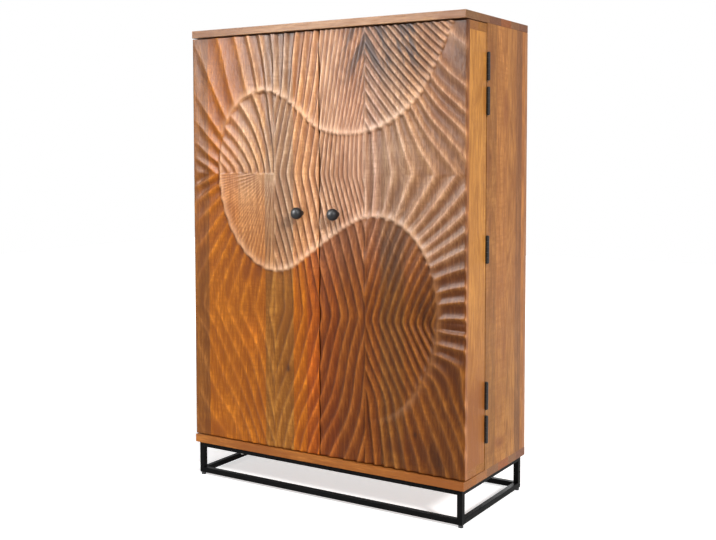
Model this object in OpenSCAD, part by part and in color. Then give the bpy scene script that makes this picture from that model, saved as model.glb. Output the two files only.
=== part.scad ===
// Bar cabinet: a solid wood carcass with two deep box doors, on a black square-tube base frame.
// Millimetres. +Z is up and -Y is the front. The origin is on the floor, under the cabinet's middle.
// The front of each door panel is drawn as the plane of its highest carved ridges.

/* [Overall] */
// Width of the cabinet
body_w = 950; // [900:10:1100]
// Depth of the cabinet with its doors closed
body_d = 410; // [390:5:460]
// Height of the cabinet with its base frame
body_h = 1400; // [1350:10:1500]

/* [Boards] */
// Thickness of the top board
top_t = 22; // [18:1:30]
// Thickness of the base board
base_t = 24; // [18:1:30]
// Thickness of the carcass sides
side_t = 22; // [20:1:28]
// Thickness of the back panel, which covers the rear edges of the sides
back_t = 18; // [12:1:24]
// Thickness of the shelves and of the divider
shelf_t = 20; // [18:1:24]

/* [Inside] */
// Height of the upper shelf's top face above the base board
upper_shelf_h = 914; // [880:1:960]
// Height of the middle shelf's top face above the base board
middle_shelf_h = 569; // [540:1:600]
// Height of the loose half shelves' top face above the base board
half_shelf_h = 369; // [340:1:420]
// Setback of the shelves and the divider behind the carcass front
shelf_setback = 10; // [6:1:30]
// Play round each loose half shelf
shelf_play = 0.5; // [0.3:0.1:1.5]
// Diameter of the pins under the half shelves
shelf_pin_d = 5; // [4:0.5:6]
// Depth of each pin in its board, and its reach under the shelf
shelf_pin_in = 8; // [6:0.5:8.5]
// Distance of the pins from the front and the rear edge of the half shelves
shelf_pin_inset = 40; // [25:1:70]

/* [Stemware rails] */
// Distance from one rail to the next
stem_pitch = 110; // [100:1:130]
// Width of a rail's flange, which carries the feet of the glasses
stem_flange_w = 74; // [60:1:80]
// Thickness of a rail's flange
stem_flange_t = 10; // [8:1:14]
// Width of a rail's web
stem_web_w = 16; // [12:1:22]
// Height of a rail's web, which is the room for the feet
stem_web_h = 22; // [16:1:30]
// Setback of the rails behind the carcass front
stem_setback = 24; // [22:1:60]

/* [Doors] */
// Depth of the box doors
door_d = 126.4; // [110:0.2:140]
// Thickness of the carved front panel at its highest ridges
panel_t = 24; // [20:1:30]
// Thickness of the side boards of a door box
door_side_t = 20; // [18:1:24]
// Thickness of the top and bottom boards of a door box
door_end_t = 24; // [18:1:28]
// Gap between a door and the top board
gap_top = 3; // [2:0.5:5]
// Gap between a door and the base board
gap_bottom = 3; // [2:0.5:5]
// Gap between the two doors
gap_middle = 3; // [2:0.5:5]
// Number of bottle shelves in each door above its bottom board
door_shelves = 2; // [1:1:3]
// Thickness of the bottle shelves
door_shelf_t = 16; // [12:1:20]
// Height of a bottle rail above the shelf that it guards
bottle_rail_up = 70; // [50:1:90]
// Height of the bottle rail itself
bottle_rail_h = 40; // [25:1:50]
// Thickness of the bottle rail
bottle_rail_t = 12; // [8:1:16]
// Setback of the bottle rails from the rear edge of the door
bottle_rail_back = 2; // [1:0.5:6]

/* [Knobs] */
// Diameter of the ball knob
knob_d = 35; // [26:1:40]
// Gap between the ball and the highest ridges
knob_gap = 2; // [1:0.5:6]
// Depth of the seat below the highest ridges
knob_seat = 6; // [3:0.5:8]
// Diameter of the knob's neck at its seat
knob_neck_d = 15; // [12:1:20]
// Diameter of the knob's neck at the ball
knob_waist_d = 12; // [9:1:14]
// Distance of a knob from the cabinet's middle
knob_x = 63; // [45:1:90]
// Height of the knobs above the bottom of the doors
knob_up = 712; // [600:1:800]
// Diameter of the screw that holds a knob
knob_screw_d = 4; // [4:0.5:5]
// Depth of that screw in the knob
knob_screw_in = 13; // [10:0.5:16]

/* [Hinges] */
// Length of a hinge
hinge_l = 75; // [60:1:85]
// Distance from each end of the door to the first hinge
hinge_inset = 78; // [50:1:110]
// Gap between the two hinges of a pair
hinge_pair_gap = 20; // [12:1:40]
// Thickness of a hinge leaf
leaf_t = 2; // [1.5:0.1:2.5]
// Gap between the closed leaves
leaf_gap = 0.4; // [0.3:0.1:0.8]
// Reach of a leaf over the edge of the board
leaf_w = 18; // [15:1:19]
// Diameter of the hinge barrel
barrel_d = 10; // [8:0.5:12]
// Gap between the barrel and the side of the cabinet
barrel_gap = 0.3; // [0.3:0.1:1]
// Diameter of the hinge pin
pin_d = 4; // [3:0.5:5]
// Radial clearance of the pin in the knuckles
pin_fit = 0.05; // [0.02:0.01:0.1]
// Gap between neighbouring knuckles
knuckle_gap = 0.4; // [0.3:0.1:0.6]
// Diameter of the pin's head
pin_head_d = 7; // [6:0.5:8]
// Height of the pin's head
pin_head_h = 1.6; // [1:0.2:3]
// Distance between the screws of a leaf
leaf_screw_pitch = 26; // [18:1:27]
// Length of the screws of a leaf
leaf_screw_l = 20; // [14:1:26]

/* [Screws] */
// Diameter of a wood screw's shank
screw_d = 3.6; // [3:0.2:4]
// Diameter of a countersunk head
screw_head_d = 7; // [6:0.2:7.4]
// Metal left in a leaf under a countersunk head
screw_land = 0.2; // [0.1:0.1:0.5]
// Radial clearance of a screw in metal
screw_fit = 0.15; // [0.1:0.05:0.3]
// Radial clearance of a screw in its pilot hole
pilot_fit = 0.05; // [0.03:0.01:0.1]
// Diameter of a pan head
pan_head_d = 9; // [7:0.5:11]
// Height of a pan head
pan_head_h = 2.5; // [2:0.5:4]

/* [Catches] */
// Length of the magnet block of a catch
catch_l = 40; // [30:1:50]
// Depth of the magnet block
catch_d = 15; // [12:1:18]
// Height of the magnet block
catch_h = 18; // [14:1:22]
// Distance of a magnet block from the cabinet's middle
catch_x = 14; // [10:1:40]
// Thickness of the steel plate on the door
plate_t = 1.5; // [1:0.1:2]
// Margin of the plate inside the length of the magnet block
plate_margin = 2; // [1:0.5:5]
// Height of the plate
plate_h = 16; // [12:1:18]
// Distance of the plate below the top of the door
plate_down = 2; // [1:0.5:4]
// Gap between plate and magnet
catch_gap = 0.4; // [0.3:0.1:1]

/* [Base frame] */
// Height of the welded frame
frame_h = 99; // [70:1:200]
// Side of the square tube
tube = 16; // [14:1:25]
// Wall of the square tube
tube_wall = 1.5; // [1:0.1:2]
// Setback of the frame from the edges above it
frame_inset = 9; // [5:1:25]
// Distance between the screws of the front and the rear rail
frame_screw_pitch = 300; // [200:10:380]
// Depth of the frame screws in the base board
frame_screw_in = 14; // [10:1:17]
// Height of the glides under the frame
glide_h = 8; // [5:1:15]
// Diameter of a glide
glide_d = 14; // [12:1:16]
// Length of the plug of a glide inside its post
glide_plug = 12; // [8:1:20]
// Play of the plug inside its post
glide_play = 0.2; // [0.1:0.1:0.4]

/* [Hidden] */
$fn = 48;

SIDES = [["left", -1], ["right", 1]];
ENDS = [["front", -1], ["rear", 1]];
DOOR_PIECES = ["panel", "outer_side", "inner_side", "top", "bottom", "bottle_rails",
               "knob", "knob_screw", "catch_plate", "hinge_leaves", "hinge_screws"];

// Main planes of the cabinet
half_w = body_w / 2;
front = -body_d / 2;
rear = body_d / 2;
floor_z = glide_h + frame_h;
base_top = floor_z + base_t;
top_under = body_h - top_t;
back_y = rear - back_t;
in_x = half_w - side_t;

// Doors and the seam that their hinges fill
hinge_gap = 2 * leaf_t + leaf_gap;
door_rear = front + door_d;
carcass_front = door_rear + hinge_gap;
door_z0 = base_top + gap_bottom;
door_z1 = top_under - gap_top;
door_in_x0 = gap_middle / 2 + door_side_t;
door_in_x1 = half_w - door_side_t;
panel_back = front + panel_t;
door_in_z0 = door_z0 + door_end_t;
door_bay = (door_z1 - door_end_t - door_in_z0 - door_shelves * door_shelf_t) / (door_shelves + 1);
rail_rear = door_rear - bottle_rail_back;

// Shelves
shelf_front = carcass_front + shelf_setback;
half_shelf_z = base_top + half_shelf_h - shelf_t;
half_shelf_y0 = shelf_front;
half_shelf_y1 = back_y - shelf_play;
pin_slack = 0.05;
pin_hole_end = 0.2;

// Stemware rails, as many as the width takes
stem_count = floor((2 * in_x - stem_flange_w) / stem_pitch) + 1;
stem_y0 = carcass_front + stem_setback;

// Hinges
pin_x = half_w + barrel_d / 2 + barrel_gap;
pin_y = door_rear + hinge_gap / 2;
leaf_x0 = half_w - leaf_w;
leaf_screw_x = half_w - leaf_w / 2;
screw_head_h = leaf_t - screw_land;
knuckles = 5;
knuckle_l = hinge_l / knuckles;
hinge_z = [
    door_z0 + hinge_inset,
    door_z0 + hinge_inset + hinge_l + hinge_pair_gap,
    (door_z0 + door_z1 - hinge_l) / 2,
    door_z1 - hinge_inset - 2 * hinge_l - hinge_pair_gap,
    door_z1 - hinge_inset - hinge_l
];
leaf_screw_z = [for (z = hinge_z, k = [-1:1]) z + hinge_l / 2 + k * leaf_screw_pitch];

// Knobs
knob_z = door_z0 + knob_up;
knob_seat_y = front + knob_seat;
knob_out = knob_seat + knob_gap + knob_d / 2;
seat_play = 0.1;

// Base frame
post_x = half_w - frame_inset;
post_y = body_d / 2 - frame_inset;
bore = tube - 2 * tube_wall;
frame_screw_spots = concat(
    [for (e = [-1, 1], k = [-1:1]) [k * frame_screw_pitch, e * (post_y - tube / 2)]],
    [for (s = [-1, 1]) [s * (post_x - tube / 2), 0]]
);

WOOD = "#a5672f";
DOOR_WOOD = "#b0682c";
INSIDE_WOOD = "#b98046";
STEEL = "#262626";
PLASTIC = "#1a1a1a";
ZINC = "#9a9a9a";

// Shared shapes

module block(x0, x1, y0, y1, z0, z1) {
    translate([x0, y0, z0]) cube([x1 - x0, y1 - y0, z1 - z0]);
}

// Draws its children for the right-hand side, or mirrored for the left-hand side
module on_side(s) {
    mirror([s < 0 ? 1 : 0, 0, 0]) children();
}

// A cylinder from a point towards +Y or -Y
module rod_y(p, r, l, dir) {
    translate(p) rotate([dir > 0 ? -90 : 90, 0, 0]) cylinder(r = r, h = l);
}

// A countersunk screw whose head is flush with point p, grown by fit for its hole
module countersunk(p, dir, fit) {
    translate(p) rotate([dir > 0 ? -90 : 90, 0, 0]) {
        cylinder(r1 = screw_head_d / 2 + fit, r2 = screw_d / 2 + fit, h = screw_head_h);
        cylinder(r = screw_d / 2 + fit, h = leaf_screw_l);
    }
}

module tube_x(l, y, z) {
    translate([-l / 2, y, z]) difference() {
        cube([l, tube, tube]);
        translate([-1, tube_wall, tube_wall]) cube([l + 2, bore, bore]);
    }
}

module tube_y(l, x, z) {
    translate([x, -l / 2, z]) difference() {
        cube([tube, l, tube]);
        translate([tube_wall, -1, tube_wall]) cube([bore, l + 2, bore]);
    }
}

// Carcass

module top_board() {
    color(WOOD) block(-half_w, half_w, front, rear, top_under, body_h);
}

module base_board() {
    color(WOOD) difference() {
        block(-half_w, half_w, front, rear, floor_z, base_top);
        for (p = frame_screw_spots)
            translate([p[0], p[1], floor_z - 1])
                cylinder(r = screw_d / 2 + pilot_fit, h = frame_screw_in + 2);
    }
}

// Pilot holes of the hinge screws in the edge of a board, from the plane y towards dir
module leaf_pilots(y, dir) {
    for (z = leaf_screw_z)
        rod_y([leaf_screw_x, y - dir, z], screw_d / 2 + pilot_fit, leaf_screw_l - leaf_t + 2, dir);
}

// The two half-shelf pins that enter a board at the plane x and point towards dir
module shelf_pin_pair(x, dir, r, l) {
    z = half_shelf_z - shelf_pin_d / 2 - pin_slack;
    for (y = [half_shelf_y0 + shelf_pin_inset, half_shelf_y1 - shelf_pin_inset])
        translate([x, y, z]) rotate([0, dir > 0 ? 90 : -90, 0]) cylinder(r = r, h = l);
}

module side(s) {
    color(WOOD) on_side(s) difference() {
        block(in_x, half_w, carcass_front, back_y, base_top, top_under);
        leaf_pilots(carcass_front, 1);
        shelf_pin_pair(in_x - 1, 1, shelf_pin_d / 2 + pin_slack, shelf_pin_in + pin_hole_end + 1);
    }
}

module back_panel() {
    color(WOOD) block(-half_w, half_w, back_y, rear, base_top, top_under);
}

module fixed_shelf(h) {
    color(INSIDE_WOOD)
        block(-in_x, in_x, shelf_front, back_y, base_top + h - shelf_t, base_top + h);
}

module divider() {
    color(INSIDE_WOOD) difference() {
        block(-shelf_t / 2, shelf_t / 2, shelf_front, back_y,
              base_top, base_top + middle_shelf_h - shelf_t);
        for (s = [-1, 1]) on_side(s)
            shelf_pin_pair(shelf_t / 2 + 1, -1, shelf_pin_d / 2 + pin_slack,
                           shelf_pin_in + pin_hole_end + 1);
    }
}

module half_shelf(s) {
    color(INSIDE_WOOD) on_side(s)
        block(shelf_t / 2 + shelf_play, in_x - shelf_play, half_shelf_y0, half_shelf_y1,
              half_shelf_z, half_shelf_z + shelf_t);
}

module shelf_pins() {
    color(ZINC) for (s = [-1, 1]) on_side(s) {
        shelf_pin_pair(in_x + shelf_pin_in, -1, shelf_pin_d / 2, 2 * shelf_pin_in);
        shelf_pin_pair(shelf_t / 2 - shelf_pin_in, 1, shelf_pin_d / 2, 2 * shelf_pin_in);
    }
}

module stemware_rails() {
    color(INSIDE_WOOD) for (i = [0:stem_count - 1])
        translate([(i - (stem_count - 1) / 2) * stem_pitch, 0, top_under - stem_web_h]) {
            block(-stem_web_w / 2, stem_web_w / 2, stem_y0, back_y, 0, stem_web_h);
            block(-stem_flange_w / 2, stem_flange_w / 2, stem_y0, back_y, -stem_flange_t, 0);
        }
}

module door_catches() {
    y = door_rear + plate_t + catch_gap;
    color(PLASTIC) for (s = [-1, 1]) on_side(s)
        block(catch_x, catch_x + catch_l, y, y + catch_d, top_under - catch_h, top_under);
}

// Hinges

// The knuckles of one leaf: first is 0 for the carcass leaf and 1 for the door leaf
module knuckle_rings(first) {
    for (k = [first:2:knuckles - 1]) {
        low = k == 0 ? 0 : knuckle_gap / 2;
        high = k == knuckles - 1 ? 0 : knuckle_gap / 2;
        translate([pin_x, pin_y, k * knuckle_l + low])
            cylinder(r = barrel_d / 2, h = knuckle_l - low - high);
    }
}

// Room in one leaf for the turning knuckles of the other
module knuckle_room(first) {
    for (k = [first:2:knuckles - 1]) {
        low = k == 0 ? 1 : knuckle_gap / 2;
        high = k == knuckles - 1 ? 1 : knuckle_gap / 2;
        translate([pin_x, pin_y, k * knuckle_l - low])
            cylinder(r = barrel_d / 2 + barrel_gap, h = knuckle_l + low + high);
    }
}

// All leaves of one side: dir is 1 for those on the carcass and -1 for those on the door
module leaves(dir, first) {
    y0 = pin_y + (dir > 0 ? leaf_gap / 2 : -leaf_gap / 2 - leaf_t);
    color(STEEL) difference() {
        for (z = hinge_z) translate([0, 0, z]) difference() {
            union() {
                difference() {
                    block(leaf_x0, pin_x, y0, y0 + leaf_t, 0, hinge_l);
                    knuckle_room(1 - first);
                }
                knuckle_rings(first);
            }
            translate([pin_x, pin_y, -1]) cylinder(r = pin_d / 2 + pin_fit, h = hinge_l + 2);
        }
        for (z = leaf_screw_z)
            countersunk([leaf_screw_x, pin_y + dir * leaf_gap / 2, z], dir, screw_fit);
    }
}

module leaf_screws(dir) {
    color(STEEL) for (z = leaf_screw_z)
        countersunk([leaf_screw_x, pin_y + dir * leaf_gap / 2, z], dir, 0);
}

module hinge_pins() {
    color(STEEL) for (s = [-1, 1], z = hinge_z) on_side(s) translate([pin_x, pin_y, z]) {
        cylinder(r = pin_d / 2, h = hinge_l);
        translate([0, 0, -pin_head_h]) cylinder(r = pin_head_d / 2, h = pin_head_h);
        translate([0, 0, hinge_l]) cylinder(r = pin_head_d / 2, h = pin_head_h);
    }
}

// Doors, each drawn for the right-hand side

module door_panel() {
    color(DOOR_WOOD) difference() {
        block(gap_middle / 2, half_w, front, panel_back, door_z0, door_z1);
        rod_y([knob_x, front - 1, knob_z], knob_neck_d / 2 + seat_play, knob_seat + 1, 1);
        rod_y([knob_x, front, knob_z], knob_screw_d / 2 + screw_fit, panel_t + 1, 1);
    }
}

module door_outer_side() {
    color(DOOR_WOOD) difference() {
        block(door_in_x1, half_w, panel_back, door_rear, door_in_z0, door_z1 - door_end_t);
        leaf_pilots(door_rear, -1);
    }
}

module door_inner_side() {
    color(DOOR_WOOD)
        block(gap_middle / 2, door_in_x0, panel_back, door_rear, door_in_z0, door_z1 - door_end_t);
}

module door_end(z) {
    color(DOOR_WOOD) block(gap_middle / 2, half_w, panel_back, door_rear, z, z + door_end_t);
}

module door_shelf(i) {
    z = door_in_z0 + i * door_bay + (i - 1) * door_shelf_t;
    color(INSIDE_WOOD) block(door_in_x0, door_in_x1, panel_back, door_rear, z, z + door_shelf_t);
}

module bottle_rails() {
    color(INSIDE_WOOD) for (i = [0:door_shelves]) {
        z = door_in_z0 + i * (door_bay + door_shelf_t) + bottle_rail_up;
        block(door_in_x0, door_in_x1, rail_rear - bottle_rail_t, rail_rear, z, z + bottle_rail_h);
    }
}

module knob() {
    color(STEEL) difference() {
        union() {
            translate([knob_x, knob_seat_y - knob_out, knob_z]) sphere(r = knob_d / 2);
            translate([knob_x, knob_seat_y, knob_z]) rotate([90, 0, 0])
                cylinder(r1 = knob_neck_d / 2, r2 = knob_waist_d / 2, h = knob_out);
        }
        rod_y([knob_x, knob_seat_y + 1, knob_z], knob_screw_d / 2 + pilot_fit,
              knob_screw_in + 2, -1);
    }
}

module knob_screw() {
    color(ZINC) {
        rod_y([knob_x, panel_back, knob_z], knob_screw_d / 2,
              panel_back - knob_seat_y + knob_screw_in, -1);
        rod_y([knob_x, panel_back, knob_z], pan_head_d / 2, pan_head_h, 1);
    }
}

module catch_plate() {
    z1 = door_z1 - plate_down;
    color(ZINC) block(catch_x + plate_margin, catch_x + catch_l - plate_margin,
                      door_rear, door_rear + plate_t, z1 - plate_h, z1);
}

// Base frame

module frame_post(e, s) {
    color(STEEL) on_side(s)
        translate([post_x - tube, e > 0 ? post_y - tube : -post_y, glide_h]) difference() {
            cube([tube, tube, frame_h]);
            translate([tube_wall, tube_wall, -1]) cube([bore, bore, frame_h + 2]);
        }
}

// Clearance holes for the screws that hold the frame to the boards above it
module frame_screw_holes() {
    for (p = frame_screw_spots)
        translate([p[0], p[1], floor_z - tube - 1])
            cylinder(r = screw_d / 2 + screw_fit, h = tube + 2);
}

module frame_rail_x(e, high) {
    color(STEEL) difference() {
        tube_x(2 * (post_x - tube), e > 0 ? post_y - tube : -post_y, high ? floor_z - tube : glide_h);
        if (high) frame_screw_holes();
    }
}

module frame_rail_y(s, high) {
    color(STEEL) difference() {
        tube_y(2 * (post_y - tube), s > 0 ? post_x - tube : -post_x, high ? floor_z - tube : glide_h);
        if (high) frame_screw_holes();
    }
}

module frame_screws() {
    color(ZINC) for (p = frame_screw_spots) translate([p[0], p[1], floor_z - tube]) {
        cylinder(r = screw_d / 2, h = tube + frame_screw_in);
        translate([0, 0, -pan_head_h]) cylinder(r = pan_head_d / 2, h = pan_head_h);
    }
}

module glides() {
    plug = bore - 2 * glide_play;
    color(PLASTIC) for (x = [-1, 1], y = [-1, 1])
        translate([x * (post_x - tube / 2), y * (post_y - tube / 2), 0]) {
            cylinder(r = glide_d / 2, h = glide_h);
            translate([-plug / 2, -plug / 2, glide_h]) cube([plug, plug, glide_plug]);
        }
}

// Assembly

top_board();
base_board();
side(-1);  // side_left
side(1);  // side_right
back_panel();
fixed_shelf(upper_shelf_h);  // shelf_upper
fixed_shelf(middle_shelf_h);  // shelf_middle
divider();
half_shelf(-1);  // half_shelf_left
half_shelf(1);  // half_shelf_right
shelf_pins();
stemware_rails();
glides();
frame_screws();
door_catches();
for (s = [-1, 1]) on_side(s) leaves(1, 0);  // carcass_hinge_leaves
for (s = [-1, 1]) on_side(s) leaf_screws(1);  // carcass_hinge_screws
hinge_pins();
for (e = ENDS, s = SIDES)
    frame_post(e[1], s[1]);
for (e = ENDS) {
    frame_rail_x(e[1], false);
    frame_rail_x(e[1], true);
}
for (s = SIDES) {
    frame_rail_y(s[1], false);
    frame_rail_y(s[1], true);
}
for (s = SIDES) on_side(s[1]) {
    name = str("door_", s[0], "_");
    door_panel();
    door_outer_side();
    door_inner_side();
    door_end(door_z1 - door_end_t);
    door_end(door_z0);
    bottle_rails();
    knob();
    knob_screw();
    catch_plate();
    leaves(-1, 1);
    leaf_screws(-1);
    for (i = [1:door_shelves])
        door_shelf(i);
}
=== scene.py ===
import math
import random

import bpy
import numpy as np
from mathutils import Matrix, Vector


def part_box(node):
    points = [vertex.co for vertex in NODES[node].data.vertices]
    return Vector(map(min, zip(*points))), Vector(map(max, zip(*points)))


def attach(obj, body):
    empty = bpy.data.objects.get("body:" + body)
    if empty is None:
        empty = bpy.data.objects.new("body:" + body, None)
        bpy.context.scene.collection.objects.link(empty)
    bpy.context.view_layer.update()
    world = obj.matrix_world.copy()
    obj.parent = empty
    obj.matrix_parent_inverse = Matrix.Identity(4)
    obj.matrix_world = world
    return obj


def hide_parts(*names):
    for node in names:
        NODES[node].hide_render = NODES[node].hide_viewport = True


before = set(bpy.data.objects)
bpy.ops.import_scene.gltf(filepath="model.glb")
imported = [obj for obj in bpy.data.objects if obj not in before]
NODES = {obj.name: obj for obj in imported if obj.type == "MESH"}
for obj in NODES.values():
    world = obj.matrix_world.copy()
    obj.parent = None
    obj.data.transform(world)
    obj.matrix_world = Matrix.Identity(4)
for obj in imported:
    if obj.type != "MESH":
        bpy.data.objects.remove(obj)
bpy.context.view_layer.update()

MM = 0.001
SIDES = ("left", "right")


# Camera, as the photograph was taken

PHOTO_W, PHOTO_H = 716, 540
FOCAL_PX = 1032.61
CENTRE_PX = (376.59, 214)
CAMERA_YAW = 0.5493
CAMERA_PITCH = -0.0570
CAMERA_AT = (1.7067, -2.6682, 1.0159)
SENSOR_MM = 36


def add_camera():
    data = bpy.data.cameras.new("photo_camera")
    data.sensor_fit = "HORIZONTAL"
    data.sensor_width = SENSOR_MM
    data.lens = FOCAL_PX * SENSOR_MM / PHOTO_W
    data.shift_x = (PHOTO_W / 2 - CENTRE_PX[0]) / PHOTO_W
    data.shift_y = (CENTRE_PX[1] - PHOTO_H / 2) / PHOTO_W
    camera = bpy.data.objects.new("photo_camera", data)
    camera.location = CAMERA_AT
    camera.rotation_euler = (math.pi / 2 + CAMERA_PITCH, 0, CAMERA_YAW)
    bpy.context.collection.objects.link(camera)
    bpy.context.scene.camera = camera


# Colours, written as they show on screen and turned into linear values

WHITE = (1, 1, 1, 1)


def colour(red, green, blue):
    def linear(c):
        c /= 255
        return c / 12.92 if c <= 0.04045 else ((c + 0.055) / 1.055) ** 2.4
    return (linear(red), linear(green), linear(blue), 1)


class Graph:
    """The shader nodes of a material or a world, written as short calls that return sockets."""

    def __init__(self, owner):
        owner.use_nodes = True
        self.owner = owner
        self.tree = owner.node_tree
        self.tree.nodes.clear()

    def give(self, node, key, value):
        """Links a socket to a node's input, or sets the input to a plain value."""
        if isinstance(value, bpy.types.NodeSocket):
            self.tree.links.new(value, node.inputs[key])
        elif value is not None:
            node.inputs[key].default_value = value

    def add(self, kind, inputs=(), **settings):
        node = self.tree.nodes.new("ShaderNode" + kind)
        for key, value in settings.items():
            setattr(node, key, value)
        for key, value in dict(inputs).items():
            self.give(node, key, value)
        return node

    def math(self, operation, a, b=None):
        return self.add("Math", {0: a, 1: b}, operation=operation).outputs[0]

    def product(self, first, *others):
        for other in others:
            first = self.math("MULTIPLY", first, other)
        return first

    def split(self, vector):
        return self.add("SeparateXYZ", {0: vector}).outputs

    def join(self, x, y, z):
        return self.add("CombineXYZ", {0: x, 1: y, 2: z}).outputs[0]

    def noise(self, vector, scale=1.0, detail=3.0, rough=0.5, distortion=0.0):
        inputs = {"Vector": vector, "Scale": scale, "Detail": detail, "Roughness": rough,
                  "Distortion": distortion}
        return self.add("TexNoise", inputs).outputs[0]

    def span(self, value, low, high, to_low=0.0, to_high=1.0, smooth=False):
        kind = "SMOOTHSTEP" if smooth else "LINEAR"
        inputs = {"Value": value, "From Min": low, "From Max": high, "To Min": to_low, "To Max": to_high}
        return self.add("MapRange", inputs, interpolation_type=kind, clamp=True).outputs[0]

    def within(self, *ramps):
        """How far a place lies inside a patch that comes in smoothly over each (value, from, to)."""
        return self.product(*[self.span(*ramp, smooth=True) for ramp in ramps])

    def mix(self, share, a, b, blend="MIX"):
        node = self.add("Mix", {"Factor": share}, data_type="RGBA", blend_type=blend, clamp_factor=True)
        self.give(node, 6, a)
        self.give(node, 7, b)
        return node.outputs[2]

    def shaded(self, base, shade):
        """A colour times a shade of red, green and blue."""
        return self.mix(1.0, base, (*shade, 1), "MULTIPLY")

    def steps(self, value, stops):
        """A ramp of plain steps: each stop's colour and alpha hold up to the next one."""
        node = self.add("ValToRGB", {0: value})
        ramp = node.color_ramp
        ramp.interpolation = "CONSTANT"
        while len(ramp.elements) < len(stops):
            ramp.elements.new(1.0)
        for element, (place, shade) in zip(ramp.elements, stops):
            element.position = place
            element.color = shade
        return node.outputs

    def bump(self, height, distance, strength=1.0, under=None):
        inputs = {"Height": height, "Distance": distance, "Strength": strength, "Normal": under}
        return self.add("Bump", inputs).outputs[0]

    def seen(self):
        """1 for what the camera, a reflection or glass sees, and 0 for the light that falls on things."""
        path = self.add("LightPath").outputs
        direct = self.math("MAXIMUM", path["Is Camera Ray"], path["Is Glossy Ray"])
        return self.math("MAXIMUM", direct, path["Is Transmission Ray"])

    def surface(self, base, rough, normal=None, **others):
        inputs = {"Base Color": base, "Roughness": rough, "Normal": normal}
        for key, value in others.items():
            inputs[key.replace("_", " ")] = value
        shader = self.add("BsdfPrincipled", inputs)
        self.add("OutputMaterial", {0: shader.outputs[0]})
        return self.owner


def new_material(name):
    return Graph(bpy.data.materials.new(name))


# Wood: planks glued side by side, each with its own tone, figure, fibres and pores

AXES = {"x": 0, "y": 1, "z": 2}
PLANK_SPREAD = (0.7, 1.3)
WOOD_GLOSS = 0.1
FIBRE_BUMP = 0.0004
FOOT_HEIGHTS = (0.65, 0.35)
RING_RATE, THIN_RING_RATE, ARC_RATE = 100.0, 290.0, 60.0

DARK = (0.60, 0.50, 0.44)
LIGHT = (1.20, 1.18, 1.12)
DULL = (0.66, 0.56, 0.56)
PORE = (0.30, 0.22, 0.18)
CLOUD = (0.55, 0.44, 0.46)
KNOT_RIM = (0.45, 0.34, 0.28)
KNOT_HEART = colour(58, 34, 22)
END_DARK = (0.36, 0.31, 0.28)
END_LIGHT = (0.72, 0.70, 0.70)
END_ARC = (0.3, 0.25, 0.22)
END_SHARE = 0.7


def cut_planks(low, high, width, seed, tones):
    """Edges and tones of planks of roughly one width, in metres."""
    rng = random.Random(seed)
    edges, found = [low], []
    while edges[-1] < high:
        edges.append(edges[-1] + width * rng.uniform(*PLANK_SPREAD))
        others = [tone for tone in tones if not found or tone is not found[-1]]
        found.append(rng.choice(others or tones))
    edges[-1] = high + MM
    return edges, found


def plank_tone(g, place, edges, tones, seed):
    """Tone of the plank at a place across the board, and a number that sets its figure apart."""
    rng = random.Random(seed)
    whole = edges[-1] - edges[0]
    share = g.span(place, edges[0], edges[-1])
    stops = []
    for edge, tone in zip(edges, tones):
        stops.append(((edge - edges[0]) / whole, (*tone[:3], rng.random())))
    return g.steps(share, stops)


def nearness(g, across, along, spots):
    """How near the closest spot is: 1 at its heart, 0 well away. A spot is its place and its half sizes."""
    near = None
    for at_across, at_along, half_across, half_along in spots:
        dx = g.math("DIVIDE", g.math("SUBTRACT", across, at_across), half_across)
        dz = g.math("DIVIDE", g.math("SUBTRACT", along, at_along), half_along)
        r2 = g.math("ADD", g.product(dx, dx), g.product(dz, dz))
        here = g.math("DIVIDE", 1.0, g.math("ADD", 1.0, r2))
        near = here if near is None else g.math("MAXIMUM", near, here)
    return near


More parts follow.
